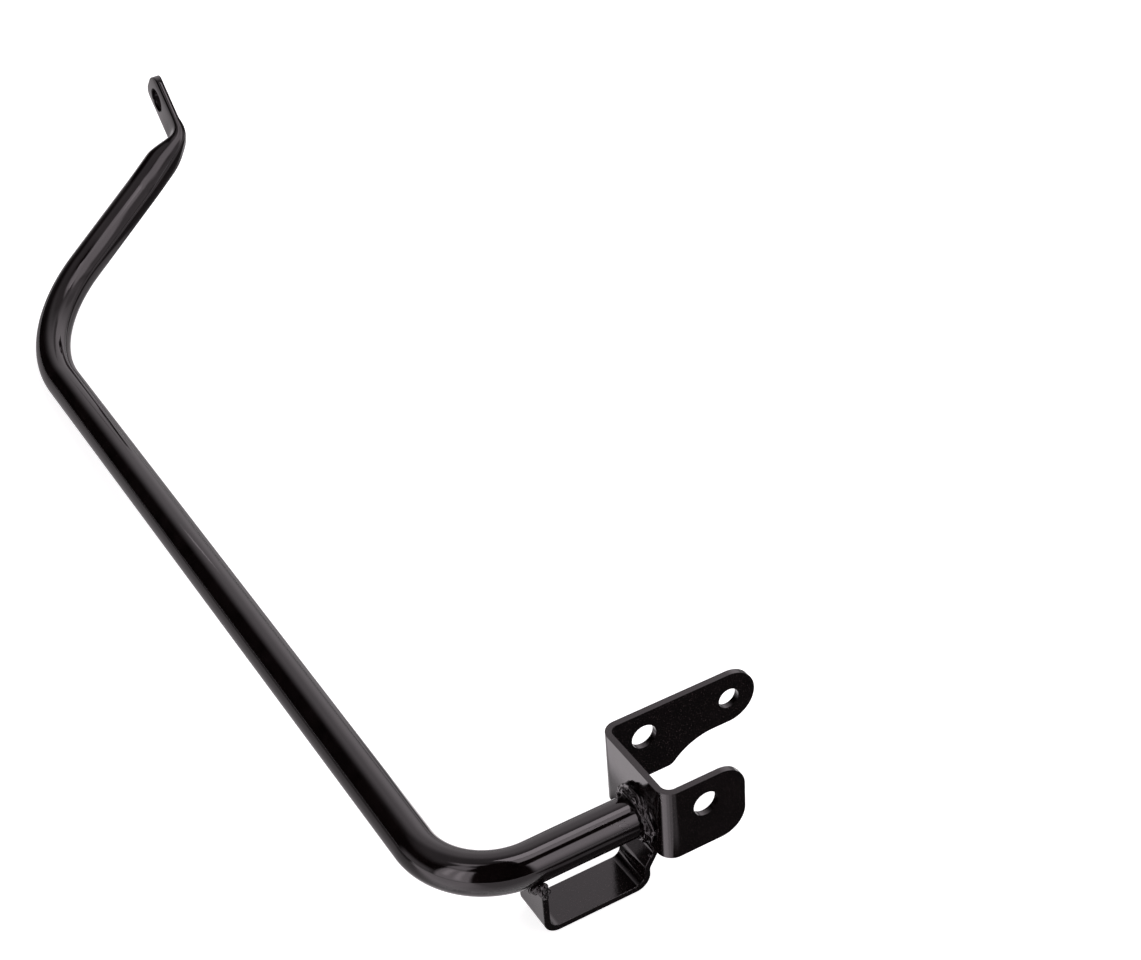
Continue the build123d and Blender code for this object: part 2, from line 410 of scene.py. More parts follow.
def powder_coat(name, gloss, speckle, peel_size, peel_depth, grain_depth):
    """Gloss black powder coat: orange-peel, fine grain and slight changes of gloss and colour."""
    existing = bpy.data.materials.get(name)
    if existing:
        return existing
    finish = bpy.context.scene.pannier_finish
    material = bpy.data.materials.new(name)
    material.use_nodes = True
    tree = material.node_tree
    shader = tree.nodes["Principled BSDF"]
    shader.inputs["IOR"].default_value = 1.5
    shader.inputs["Specular Tint"].default_value = (1, 0.95, 0.98, 1)
    place = add_node(tree, "TexCoord").outputs["Object"]

    cloud = ranged(tree, noise(tree, place, CLOUD_SIZE, 3), 0, 1)
    tone = mixed(tree, cloud, (*finish.coat, 1), (*finish.coat_worn, 1))
    speck = ease(tree, noise(tree, place, SPECK_SIZE, 1), *SPECK_RANGE)
    speckled = mixed(tree, figure(tree, "MULTIPLY", speck, speckle), tone, (*finish.speck, 1))
    fleck = ranged(tree, noise(tree, place, FLECK_SIZE, 2), *gloss)
    peel = bump(tree, noise(tree, place, peel_size, 1), peel_depth)
    grain = bump(tree, noise(tree, place, GRAIN_SIZE, 2), grain_depth, {"Normal": peel})
    for socket, source in (("Base Color", speckled), ("Roughness", fleck), ("Normal", grain)):
        tree.links.new(source, shader.inputs[socket])
    return material


def tube_coat():
    return powder_coat(
        "tube_coat", gloss=(0.04, 0.08), speckle=0.2, peel_size=2.4 * MM, peel_depth=0.010 * MM,
        grain_depth=0.0010 * MM)


def plate_coat():
    return powder_coat(
        "plate_coat", gloss=(0.07, 0.13), speckle=1.0, peel_size=1.3 * MM, peel_depth=0.010 * MM,
        grain_depth=0.008 * MM)


def weld_coat():
    return powder_coat(
        "weld_coat", gloss=(0.04, 0.08), speckle=0.2, peel_size=1.6 * MM, peel_depth=0.008 * MM,
        grain_depth=0.0005 * MM)


# Bent tube

HOLE_FACETS = 72
CORNER_STEPS = 20
CUT_EDGE_TURN = radians(50)


def tube_route(tube):
    """The corners of the tube's axis and the directions of its ends."""
    level = TUBE_LOW.z + tube.radius
    offset = TUBE_LOW.y + tube.radius
    start = Vector((BRACKET_LOW.x + tube.inset, offset, level))
    elbow = Vector((TUBE_LOW.x + tube.radius, offset, level))
    shoulder = elbow + Vector((0, tube.long_run, 0))
    heading = Vector((
        sin(tube.inner_turn) * cos(tube.inner_rise),
        cos(tube.inner_turn) * cos(tube.inner_rise),
        sin(tube.inner_rise),
    ))
    flat_plane = MOUNTS["tab_hole"]["pos_m"][0]
    tab = shoulder + heading * ((flat_plane - shoulder.x) / heading.x)
    flat_heading = Vector((0, heading.y, heading.z)).normalized()
    across = Vector((1, 0, 0)).cross(flat_heading)
    flat_start = tab - heading * tube.flare_lead
    return TubeRoute(start, elbow, shoulder, tab, heading, flat_heading, across, flat_start)


def flat_path_point(tube, route, travel):
    """Place and heading at a share of the way along the bent path from round to flat."""
    turn = route.heading.angle(route.flat_heading)
    setback = tube.flat_bend_radius * tan(turn / 2)
    lead = tube.flare_lead - setback
    curve = tube.flat_bend_radius * turn
    gone = travel * (lead + curve + tube.flat_run - setback)
    if gone <= lead:
        return route.flat_start + route.heading * gone, route.heading
    if gone >= lead + curve:
        place = route.tab + route.flat_heading * (setback + gone - lead - curve)
        return place, route.flat_heading
    axis = route.heading.cross(route.flat_heading).normalized()
    bend_start = route.tab - route.heading * setback
    middle = bend_start + axis.cross(route.heading) * tube.flat_bend_radius
    turned = Matrix.Rotation((gone - lead) / tube.flat_bend_radius, 3, axis)
    return middle + turned @ (bend_start - middle), turned @ route.heading


def pressed_offset(tube, flare, share, turn, radius, width, thickness):
    """A point of the pressed section, across and outward of its middle, at a turn round the tube."""
    edge = radius + (width / 2 - radius) * flare
    face = radius + (thickness / 2 - radius) * share
    round_fullness = 4 / 3 * (sqrt(2) - 1)
    edge_fullness = round_fullness + (tube.edge_fullness - round_fullness) * share
    face_fullness = 1 - (1 - round_fullness) * face / edge
    side = 1 if cos(turn) >= 0 else -1
    rise = 1 if sin(turn) >= 0 else -1
    along = atan2(abs(sin(turn)), abs(cos(turn))) / (pi / 2)
    rest = 1 - along
    start_edge = rest ** 3 + 3 * rest * rest * along
    start_fold = 3 * rest * along * along * face_fullness
    end_face = along ** 3 + 3 * along * along * rest
    end_fold = 3 * along * rest * rest * edge_fullness
    return side * edge * (start_edge + start_fold), rise * face * (end_face + end_fold)


def press_ring(tube, route, travel, radius, width, thickness):
    """Shapes the selected ring, the newest one, to the pressed section at its place on the path."""
    begun = (tube.flare_lead - tube.flat_lead) / (tube.flare_lead + tube.flat_run)
    pressed = max(0, (travel - begun) / (1 - begun))
    flare = travel * travel * (3 - 2 * travel)
    share = pressed * pressed * (3 - 2 * pressed)
    place, heading = flat_path_point(tube, route, travel)
    outward = heading.cross(route.across)
    set_out = tube.flat_set * 4 * share * (1 - share)
    place = place + route.across * tube.flat_shift * flare + outward * set_out
    mesh = bmesh.from_edit_mesh(bpy.context.object.data)
    turns = mesh.verts.layers.float["turn"]
    for point in mesh.verts:
        if point.select:
            across, out = pressed_offset(tube, flare, share, point[turns], radius, width, thickness)
            point.co = place + route.across * across + outward * out
    bmesh.update_edit_mesh(bpy.context.object.data)


def tube_skin(name, tube, route, radius, width, thickness, tail):
    """One skin of the tube, from its open end to the flat, drawn out of a circle."""
    skin = new_ring(radius, route.start, tube.facets)
    skin.name = skin.data.name = name
    edit_all()
    follow(
        (route.start, route.elbow, route.shoulder, route.flat_start),
        (tube.elbow_radius, tube.shoulder_radius), tube.bend_steps)

    mesh = bmesh.from_edit_mesh(skin.data)
    turns = mesh.verts.layers.float.new("turn")
    outward = route.heading.cross(route.across)
    for point in mesh.verts:
        if point.select:
            arm = point.co - route.flat_start
            point[turns] = atan2(arm.dot(outward), arm.dot(route.across))
    bmesh.update_edit_mesh(skin.data)
    for step in range(1, tube.press_steps + 1):
        extrude((0, 0, 0))
        press_ring(tube, route, step / tube.press_steps, radius, width, thickness)
    if tail:
        extrude(route.flat_heading * tail)
    bpy.ops.mesh.edge_face_add()
    close_edit(skin)
    return skin


def flat_point(tube, route, along, aside, out=0):
    """A point in the middle plane of the flat: along it from the bend's corner, aside and out of it."""
    middle = route.tab + route.across * (tube.flat_shift + aside)
    return middle + route.flat_heading * along + Vector((out, 0, 0))


def hole_cutter(tube, route):
    """A pin for the flat's hole, flared at both faces so that the hole's edges come out rounded."""
    flare = 0.45 * MM
    half = tube.wall + tube.seam_gap / 2
    radius = hole_radius("tab_hole")
    start_out, start_wide = -half - 2 * flare, radius + 3 * flare
    pin = new_ring(start_wide, flat_point(tube, route, tube.hole_distance, 0, start_out), HOLE_FACETS)
    edit_all()
    steps = 4
    profile = [(start_out, start_wide)]
    for step in range(steps + 1):
        lean = pi / 2 * step / steps
        profile.append((-half + flare * sin(lean), radius + flare * (1 - cos(pi / 2 - lean))))
    profile += [(-out, wide) for out, wide in reversed(profile)]
    for (out, wide), (next_out, next_wide) in zip(profile, profile[1:]):
        extrude((next_out - out, 0, 0))
        middle = flat_point(tube, route, tube.hole_distance, 0, next_out)
        bpy.ops.transform.resize(value=(next_wide / wide,) * 3, center_override=middle)
    bpy.ops.mesh.edge_face_add()
    select_edges(lambda place: near(place.x, route.tab.x + start_out))
    bpy.ops.mesh.edge_face_add()
    close_edit(pin)
    return pin


def corner_cutter(tube, route, side):
    """A block that rounds one corner of the flat's cut end."""
    end = tube.hole_distance + tube.end_margin
    spare = 3 * MM
    half = tube.wall + tube.seam_gap
    inner = tube.flat_width / 2 - tube.corner_radius
    outer = tube.flat_width / 2
    arc_start = end - tube.corner_radius

    def corner(along, aside):
        return flat_point(tube, route, along, side * aside, -half)

    corners = [
        corner(end + spare, inner),
        corner(end, inner),
        corner(arc_start, outer),
        corner(arc_start, outer + spare),
        corner(end + spare, outer + spare),
    ]
    block = begin_point("corner_block", corners[0])
    extrude(corners[1] - corners[0])
    axis = route.flat_heading.cross(route.across) * side
    arc(corner(arc_start, inner), axis, pi / 2, CORNER_STEPS)
    for here, there in zip(corners[2:], corners[3:] + corners[:1]):
        extrude(there - here)
    merge_doubles()
    bpy.ops.mesh.edge_face_add()
    extrude((2 * half, 0, 0))
    close_edit(block)
    return block


def seam_cutter(tube, route):
    """A thin slip that opens the seam between the pressed walls at the cut end."""
    end = tube.hole_distance + tube.end_margin
    slip_width = tube.flat_width - 2 * tube.wall - tube.seam_gap
    corners = [
        flat_point(tube, route, end - tube.seam_depth, -slip_width / 2, -tube.seam_gap / 2),
        flat_point(tube, route, end - tube.seam_depth, slip_width / 2, -tube.seam_gap / 2),
    ]
    slip = begin_point("seam_slip", corners[0])
    extrude(corners[1] - corners[0])
    bpy.ops.mesh.select_all(action="SELECT")
    extrude(route.flat_heading * (2 * tube.seam_depth))
    bpy.ops.mesh.select_all(action="SELECT")
    extrude((tube.seam_gap, 0, 0))
    close_edit(slip)
    return slip


def round_edges(tube, test):
    """Rounds the edges that pass a test and leaves edit mode."""
    select_only("EDGE", test)
    bpy.ops.mesh.bevel(offset=tube.end_round, segments=2, affect="EDGES")
    end_edit()


def round_cut_end(piece, tube, route):
    """Rounds the sharp edges that the corner cuts leave round the flat's end."""
    low = tube.hole_distance + tube.end_margin - tube.corner_radius - PLACE_TOLERANCE

    def sharp_edge(edge):
        arms = [end.co - route.tab for end in edge.verts]
        beyond = min(arm.dot(route.flat_heading) for arm in arms) > low
        outside = min(abs(arm.x) for arm in arms) > tube.seam_gap
        return beyond and outside and edge.calc_face_angle(0) > CUT_EDGE_TURN

    pick(piece)
    bpy.ops.object.mode_set(mode="EDIT")
    round_edges(tube, sharp_edge)


def close_open_end(tube, route):
    """Joins the outer skin to the bore at the open end and rounds the painted edges there."""
    def at_end(place):
        return near(place.x, route.start.x)

    def rim(edge):
        first, last = (end.co for end in edge.verts)
        level = near((first - route.start).length, (last - route.start).length)
        return level and at_end(first) and at_end(last)

    bpy.ops.object.mode_set(mode="EDIT")
    select_edges(at_end)
    bpy.ops.mesh.bridge_edge_loops()
    round_edges(tube, rim)


class PANNIER_OT_bent_tube(bpy.types.Operator):
    """Draws the tube out of a circle, bends it, presses and drills its end, and hollows it"""
    bl_idname = "pannier.bent_tube"
    bl_label = "Bent Tube"

    def execute(self, context):
        tube = context.scene.pannier_tube
        route = tube_route(tube)
        thickness = 2 * tube.wall + tube.seam_gap
        tail = tube.hole_distance + tube.end_margin - tube.flat_run
        outer = tube_skin("bent_tube_skin", tube, route, tube.radius, tube.flat_width, thickness, tail)
        inside = tube.radius - tube.wall, tube.flat_width - thickness, tube.seam_gap
        bore = tube_skin("bore_skin", tube, route, *inside, 0)
        pick(bore)
        edit_all()
        bpy.ops.mesh.flip_normals()
        end_edit()
        piece = join([outer, bore])
        close_open_end(tube, route)
        cut(piece, hole_cutter(tube, route))
        for side in (-1, 1):
            cut(piece, corner_cutter(tube, route, side))
        cut(piece, seam_cutter(tube, route))
        round_cut_end(piece, tube, route)
        smooth(piece, sharp=40)
        modify(piece, "WEIGHTED_NORMAL", keep_sharp=True)
        hand_over(piece, "bent_tube", tube_coat())
        return {"FINISHED"}


# Folded bracket

EAR_CORNER_STEPS = 24
LOBE_STEPS = 10
NECK_STEPS = 24
TIP_STEPS = 56
FOLD_STEPS = 12
CLEVIS_FACETS = 56
TIP_FACETS = 48


def trace_short_ear(bracket, fold_end, front):
    """Draws the short ear's outline from the bottom of the fold to its top."""
    axis = (0, -1, 0)
    corner_x = bracket.short_reach - bracket.short_corner
    low = BRACKET_LOW.z + bracket.short_corner
    high = BRACKET_HIGH.z - bracket.short_corner
    extrude((corner_x - fold_end, 0, 0))
    arc((corner_x, front, low), axis, pi / 2, EAR_CORNER_STEPS)
    extrude((0, 0, high - low))
    arc((corner_x, front, high), axis, pi / 2, EAR_CORNER_STEPS)
    extrude((fold_end - corner_x, 0, 0))


def trace_long_ear(bracket, fold_end, back):
    """Draws the long ear's outline from the bottom of the fold, round its tip, to the fold's top."""
    axis = (0, -1, 0)
    tip = BRACKET_HIGH.z
    tip_x = BRACKET_HIGH.x - tip
    neck_low = -tip - bracket.neck_radius
    lobe_level = BRACKET_LOW.z + bracket.lobe_radius
    apart = bracket.neck_radius + bracket.lobe_radius
    sweep = acos((lobe_level - neck_low) / apart)
    lobe_x = bracket.neck_distance - apart * sin(sweep)
    extrude((lobe_x - fold_end, 0, 0))
    arc((lobe_x, back, lobe_level), axis, sweep, LOBE_STEPS)
    arc((bracket.neck_distance, back, neck_low), axis, -sweep, NECK_STEPS)
    extrude((tip_x - bracket.neck_distance, 0, 0))
    arc((tip_x, back, 0), axis, pi, TIP_STEPS)
    extrude((fold_end - tip_x, 0, 0))


def fill_flat(bracket, way, level):
    """Fills the flat between the outlines at one level, with a narrow border along every edge."""
    select_edges(lambda place: near(place[way], level))
    bpy.ops.mesh.fill(use_beauty=True)
    bpy.ops.mesh.inset(thickness=bracket.rim, depth=0, use_boundary=True, use_even_offset=True)


class PANNIER_OT_folded_bracket(bpy.types.Operator):
    """Traces the bracket's outlines and holes, folds and fills them, and gives the sheet its thickness"""
    bl_idname = "pannier.folded_bracket"
    bl_label = "Folded Bracket"

    def execute(self, context):
        bracket = context.scene.pannier_bracket
        tube = context.scene.pannier_tube
        route = tube_route(tube)
        fold = bracket.bend_radius + bracket.sheet
        web = BRACKET_LOW.x
        front, back = BRACKET_LOW.y, BRACKET_HIGH.y
        fold_end = web + fold
        tall = BRACKET_HIGH.z - BRACKET_LOW.z
        up = (0, 0, 1)

        front_corner = Vector((fold_end, front, BRACKET_LOW.z))
        piece = begin_point("folded_bracket", front_corner)
        trace_short_ear(bracket, fold_end, front)
        select_point(front_corner)
        extrude((0, 0, tall))
        select_edges(lambda place: near(place.x, fold_end))
        arc((fold_end, front + fold, 0), up, -pi / 2, FOLD_STEPS)
        extrude((0, back - front - 2 * fold, 0))
        arc((fold_end, back - fold, 0), up, -pi / 2, FOLD_STEPS)
        select_point(Vector((fold_end, back, BRACKET_LOW.z)))
        trace_long_ear(bracket, fold_end, back)
        merge_doubles()

        select_only("FACE", lambda face: near(face.calc_center_median().x, web))
        bpy.ops.mesh.delete(type="ONLY_FACE")
        ring_in_edit(
            tube.radius + bracket.tube_clearance, (web, route.start.y, route.start.z), (0, pi / 2, 0),
            HOLE_FACETS)
        for side in (front, back):
            ring_in_edit(hole_radius("clevis_bore"), (0, side, 0), (pi / 2, 0, 0), CLEVIS_FACETS)
        tip_x = MOUNTS["tip_hole"]["pos_m"][0]
        ring_in_edit(hole_radius("tip_hole"), (tip_x, back, 0), (pi / 2, 0, 0), TIP_FACETS)
        for way, level in ((0, web), (1, front), (1, back)):
            fill_flat(bracket, way, level)

        def faces_out(mesh):
            mesh.normal_update()
            return any(face.normal.x < -0.99 for face in mesh.faces)

        close_edit(piece, faces_out)
        modify(piece, "SOLIDIFY", thickness=bracket.sheet, offset=-1, use_even_offset=True)
        finish_sheet(piece, bracket.edge_round)
        hand_over(piece, "u_bracket", plate_coat())
        return {"FINISHED"}


# Strap loop

STRIP_BEND_STEPS = 14
DUMMY_FACETS = 128
DUMMY_MARGIN = 15 * MM


def leg_dummy(tube, route):
    """A plain stand-in for the tube's leg, used to cut what meets it."""
    low, high = STRAP_LOW.x - DUMMY_MARGIN, BRACKET_LOW.x + DUMMY_MARGIN
    bpy.ops.mesh.primitive_cylinder_add(
        vertices=DUMMY_FACETS, radius=tube.radius, depth=high - low, rotation=(0, pi / 2, 0),
        location=((low + high) / 2, route.start.y, route.start.z))
    return settle(bpy.context.object)


class PANNIER_OT_strap_loop(bpy.types.Operator):
    """Draws the strip's bent line, widens and thickens it, and fits it to the tube"""
    bl_idname = "pannier.strap_loop"
    bl_label = "Strap Loop"

    def execute(self, context):
        strap = context.scene.pannier_strap
        tube = context.scene.pannier_tube
        route = tube_route(tube)
        half = strap.thickness / 2
        outer = STRAP_LOW.x + half
        inner = -strap.inner_reach - half
        seat = BRACKET_LOW.x + half
        floor = STRAP_LOW.z + half
        joggle_top = BRACKET_LOW.z - strap.joggle_flat
        corners = [
            (outer, STRAP_HIGH.z),
            (outer, floor),
            (inner, floor),
            (inner, joggle_top - strap.joggle_rise),
            (seat, joggle_top),
            (seat, BRACKET_LOW.z),
        ]
        points = [Vector((x, STRAP_LOW.y, z)) for x, z in corners]
        loop, joggle = strap.bend_radius + half, strap.joggle_radius + half
        piece = begin_point("strap_strip", points[0])
        follow(points, (loop, loop, joggle, joggle), STRIP_BEND_STEPS)
        bpy.ops.mesh.select_all(action="SELECT")
        extrude((0, STRAP_HIGH.y - STRAP_LOW.y, 0))
        close_edit(piece)
        modify(piece, "SOLIDIFY", thickness=strap.thickness, offset=0, use_even_offset=True)
        cut(piece, leg_dummy(tube, route))
        finish_sheet(piece, strap.edge_round)
        hand_over(piece, "strap_loop", plate_coat())
        return {"FINISHED"}


# Welds

# Middle of each drop of the weld at the strip's outer leg, from the leg's front edge and the tube's
# axis, and the drop's radius, in millimetres.
LEG_DROPS = (
    ((-0.8, 6.0, -9.9), 1.5),
    ((-1.1, 3.2, -7.7), 1.6),
    ((-0.9, 1.3, -5.2), 1.5),
    ((1.1, -0.3, -3.9), 1.5),
    ((0.2, -0.4, -6.3), 1.8),
    ((2.3, -0.1, -7.0), 1.2),
    ((1.3, -0.1, -9.3), 1.15),
)
FACET_FACING = Vector((-0.12, -0.50, 0.857)).normalized()
WRINKLES_ACROSS = 6
PIT_LEVEL = 0.08
THICK_TURN = radians(20)
BLOB_TURN = radians(92)
BLOB_REACH = 2.2 * MM
DRIP_PLACE = Vector((-18.0, -12.6, -23.2)) * MM


def ring_point(middle, reach, turn, off):
    """A place beside the tube: a reach from its axis, a turn from the top to the front, and off the web."""
    return middle + Vector((-off, -reach * sin(turn), reach * cos(turn)))


def unevenness(turn, pace, layer):
    """A smooth random height at a turn round the bead; a higher pace makes shorter bumps."""
    return lumpiness(Vector((pace * cos(turn), pace * sin(turn), layer)))


def shape_bead(ring, welds, middle, spread):
    """Gives a plain ring the long wrinkles, lumps, pits and flat facet of a hand-laid bead."""
    facet_turn = atan2(-FACET_FACING.y, FACET_FACING.z)
    facet = ring_point(middle, spread, facet_turn, 0) + FACET_FACING * (welds.ring_bead - welds.facet_depth)
    for point in ring.data.vertices:
        arm = point.co - middle
        turn = atan2(-arm.y, arm.z)
        out, off = hypot(arm.y, arm.z) - spread, -arm.x
        section = atan2(off, out)
        wander = 3 * unevenness(turn, pace=2.2, layer=5)
        wrinkle = sin(WRINKLES_ACROSS * section + wander) * (0.6 + unevenness(turn, pace=3, layer=9))
        lump = unevenness(turn, pace=4, layer=section)
        pit = max(0, unevenness(turn, pace=2.6, layer=2.4 * section) - PIT_LEVEL)
        thin = welds.ring_thin + (1 - welds.ring_thin) * (1 + cos(turn - THICK_TURN)) / 2
        swell = thin * (1 + welds.wrinkles * wrinkle + welds.lumps * lump - welds.pits * pit)
        size = hypot(out, off) * swell
        place = ring_point(middle, spread + size * cos(section), turn, size * sin(section))
        over = (place - facet).dot(FACET_FACING)
        point.co = place - FACET_FACING * max(0, over)


def drop(place, radius):
    bpy.ops.mesh.primitive_ico_sphere_add(subdivisions=4, radius=radius, location=place)
    return settle(bpy.context.object)


def run_together(name, drops, voxel):
    """Runs drops of weld into one skin."""
    piece = join(drops)
    piece.name = piece.data.name = name
    modify(piece, "REMESH", mode="VOXEL", voxel_size=voxel, use_smooth_shade=True)
    modify(piece, "SMOOTH", factor=0.5, iterations=3)
    return piece


def ripple(piece, name, size, strength):
    """Roughens a weld by a cloud texture."""
    texture = bpy.data.textures.new(name, "CLOUDS")
    texture.noise_scale = size
    texture.noise_depth = 0
    modify(piece, "DISPLACE", texture=texture, strength=strength, mid_level=0.5, texture_coords="LOCAL")


def strip_copy():
    """A copy of the strap strip, used to cut what meets it."""
    strip = bpy.data.objects["strap_strip"]
    copy = bpy.data.objects.new("strip_copy", strip.data.copy())
    bpy.context.scene.collection.objects.link(copy)
    return copy


def fit_weld(piece, node, tube, route):
    """Cuts a weld to the tube and the strip, and hands it over."""
    cut(piece, leg_dummy(tube, route))
    cut(piece, strip_copy())
    smooth(piece, sharp=60)
    hand_over(piece, node, weld_coat())


class PANNIER_OT_welds(bpy.types.Operator):
    """Lays the weld bead round the tube at the web and the weld drops at the strip's outer leg"""
    bl_idname = "pannier.welds"
    bl_label = "Welds"

    def execute(self, context):
        welds = context.scene.pannier_welds
        tube = context.scene.pannier_tube
        route = tube_route(tube)
        web = BRACKET_LOW.x
        spread = tube.radius + welds.ring_spread
        middle = Vector((web - welds.ring_setout, route.start.y, route.start.z))
        bpy.ops.mesh.primitive_torus_add(
            major_radius=spread, minor_radius=welds.ring_bead, major_segments=260, minor_segments=56,
            rotation=(0, pi / 2, 0), location=middle)
        ring = settle(bpy.context.object)
        shape_bead(ring, welds, middle, spread)
        blob = drop(ring_point(middle, spread + BLOB_REACH, BLOB_TURN, 0), welds.blob_radius)
        ring = run_together("web_bead", [ring, blob, drop(DRIP_PLACE, welds.drip_radius)], welds.voxel)
        ripple(ring, "bead_grain", size=0.9 * MM, strength=0.03 * MM)
        edit_all()
        bpy.ops.mesh.bisect(
            plane_co=(web, 0, 0), plane_no=(1, 0, 0), use_fill=True, clear_outer=True)
        end_edit()
        fit_weld(ring, "web_weld", tube, route)

        corner = Vector((STRAP_LOW.x, STRAP_LOW.y, route.start.z))
        drops = [drop(corner + Vector(place) * MM, radius * MM) for place, radius in LEG_DROPS]
        lump = run_together("loop_lump", drops, welds.voxel)
        ripple(lump, "lump_grain", size=1.2 * MM, strength=0.25 * MM)
        fit_weld(lump, "loop_weld", tube, route)
        return {"FINISHED"}


# Stage

FLOOR_SIZE = 7
FLOOR_MIDDLE_Y = 0.25
FLOOR_GLOW = 0.8
CARD_LIFT = 0.05 * MM
CARD_STEP = 0.02 * MM
DARK_STUDIO = 0.005
CAMERA_PLACE = (-0.29502, -0.49442, 0.55198)
CAMERA_AHEAD = (0.3779, 0.7116, -0.5924)
CAMERA_RIGHT = (0.8606, -0.5059, -0.0587)
FOCAL_PIXELS = 2233.07
PICTURE_PIXELS = 1141
SENSOR_WIDTH = 36
LIGHT_TINT = (1, 0.94, 0.972)
# West and east edge and their softness, low edge and its softness, high edge and its softness,
# all in degrees, and radiance. Azimuth goes from +Y, along the long run, towards +X.
STUDIO_LIGHTS = (
    (-131, -97, 2.5, -20, 4, 50, 4, 2.3),
    (-109, -103, 3, 14, 8, 46, 8, 1.5),
    (-122, -116, 3, 4, 8, 46, 8, 1.5),
    (-119, -92, 4, 52, 5, 70, 5, 2.0),
    (-100, -60, 10, 70, 5, 84, 5, 2.0),
    (0, 128, 20, 0, 18, 54, 12, 1.05),
    (40, 82, 16, 12, 20, 54, 12, 0.8),
    (-95, -58, 8, -20, 8, 16, 8, 0.8),
    (-85, 100, 15, 50, 12, 86, 12, 0.4),
    (146, 168, 4, 5, 22, 45, 1.5, 2.9),
    (128, 146, 4, 0, 10, 40, 6, 0.6),
)
# Place, width, length and radiance of the lamps that hang over the frame.
TOP_LAMPS = {
    "top_lamp_front": ((0.30, -0.305, 1.13), 0.50, 0.35, 2.7),
    "top_lamp_back": ((0.30, 0.095, 1.13), 0.50, 0.41, 3.8),
}
# Middle on the floor, turn in degrees, width, length, edge softness and radiance of floor cards.
FLOOR_CARDS = {
    "left_pale_card": ((-0.345, -0.12), 0, 0.52, 0.50, 0.03, 2.1),
    "left_far_card": ((-0.658, 0.804), -18, 1.60, 1.20, 0.02, 0.2),
    "left_corner_card": ((-0.115, 0.090), -18, 0.26, 0.20, 0.02, 0.5),
    "left_near_card": ((-0.150, 0.330), 0, 0.18, 0.50, 0.03, 0.5),
    "front_grey_card": ((-0.201, -0.508), 45, 0.90, 0.60, 0.03, 0.8),
    "bay_grey_card": ((0.34, 0.285), 0, 0.83, 0.37, 0.02, 0.75),
    "bay_front_card": ((0.20, 0.115), 0, 0.55, 0.10, 0.01, 0.2),
    "bay_edge_card": ((-0.055, 0.27), 0, 0.06, 0.42, 0.008, 0.45),
    "bay_far_card": ((1.175, 1.25), 0, 1.65, 1.90, 0.02, 0.02),
    "far_grey_card": ((-0.075, 0.75), 0, 0.35, 0.40, 0.03, 0.7),
    "web_card": ((-0.047, 0.046), 0, 0.034, 0.10, 0.003, 1.5),
    "leg_card": ((-0.085, 0.016), 0, 0.046, 0.06, 0.004, 0.75),
    "strap_dark_card": ((-0.0082, -0.0300), 28, 0.09, 0.09, 0.002, 0.06),
    "bracket_dark_card": ((0.085, -0.082), 0, 0.232, 0.236, 0.003, 0.05),
    "fold_floor_card": ((-0.021, -0.068), 0, 0.050, 0.052, 0.006, 0.45),
    "bay_corner_card": ((0.0875, 0.425), 0, 0.185, 0.13, 0.01, 0.12),
}
# Place, direction it faces, roll in degrees, width, height, edge softness and radiance of small cards
# that stand near the bracket's front fold, the strip's inner leg and the flat end.
NEAR_CARDS = {
    "fold_bright_card": ((-0.0220, -0.0221, -0.014), (1, 0, 0), 0, 0.0086, 0.12, 0.0012, 2.4),
    "fold_middle_card": ((-0.0222, -0.0260, -0.014), (1, 0, 0), 0, 0.0160, 0.12, 0.0020, 1.7),
    "fold_dim_card": ((-0.0224, -0.0400, -0.014), (1, 0, 0), 0, 0.0440, 0.12, 0.008, 1.15),
    "strip_shade_card": ((-0.0450, 0.0065, -0.027), (1, 0, 0), 0, 0.0165, 0.020, 0.0015, 0.03),
    "flat_dark_card": ((0.0190, 0.4815, 0.0638), (-1, 0, 0), -42.6, 0.045, 0.018, 0.002, 0.1),
    "flat_edge_card": ((0.0040, 0.4815, 0.0625), (1, 0, 0), 42.6, 0.040, 0.012, 0.002, 0.05),
    "flat_pale_card": ((-0.0164, 0.3709, 0.1159), (0.137, 0.776, -0.616), 0, 0.18, 0.115, 0.018, 2.4),
    "flat_fill_card": ((-0.0180, 0.4131, 0.1448), (0.0951, 0.4118, -0.9063), 0, 0.070, 0.080, 0.014, 2.6),
    "flat_shade_card": ((-0.0340, 0.4680, 0.0800), (0.504, 0.164, -0.848), 0, 0.060, 0.060, 0.006, 0.5),
    "flat_lobe_card": ((0.0155, 0.4096, 0.0545), (-0.392, 0.840, -0.375), 0, 0.040, 0.060, 0.008, 0.75),
}


def seen_rays(tree):
    """One for rays from the camera and for rays that gloss or glass throws, else nought."""
    path = add_node(tree, "LightPath")
    total = path.outputs["Is Camera Ray"]
    for kind in ("Is Glossy Ray", "Is Transmission Ray"):
        total = figure(tree, "MAXIMUM", total, path.outputs[kind])
    return total


def bare_material(name):
    """A new material with no nodes."""
    material = bpy.data.materials.new(name)
    material.use_nodes = True
    material.node_tree.nodes.clear()
    return material


def floor_material(floor_colour):
    """White to the camera and in reflections, and it keeps the frame's shadow."""
    material = bare_material("studio_floor")
    tree = material.node_tree
    matt = add_node(tree, "BsdfDiffuse", {"Color": (*floor_colour, 1)})
    glow = add_node(tree, "Emission", {"Strength": figure(tree, "MULTIPLY", seen_rays(tree), FLOOR_GLOW)})
    added = add_node(tree, "AddShader", {0: matt.outputs[0], 1: glow.outputs[0]})
    add_node(tree, "OutputMaterial", {"Surface": added.outputs[0]})
    return material


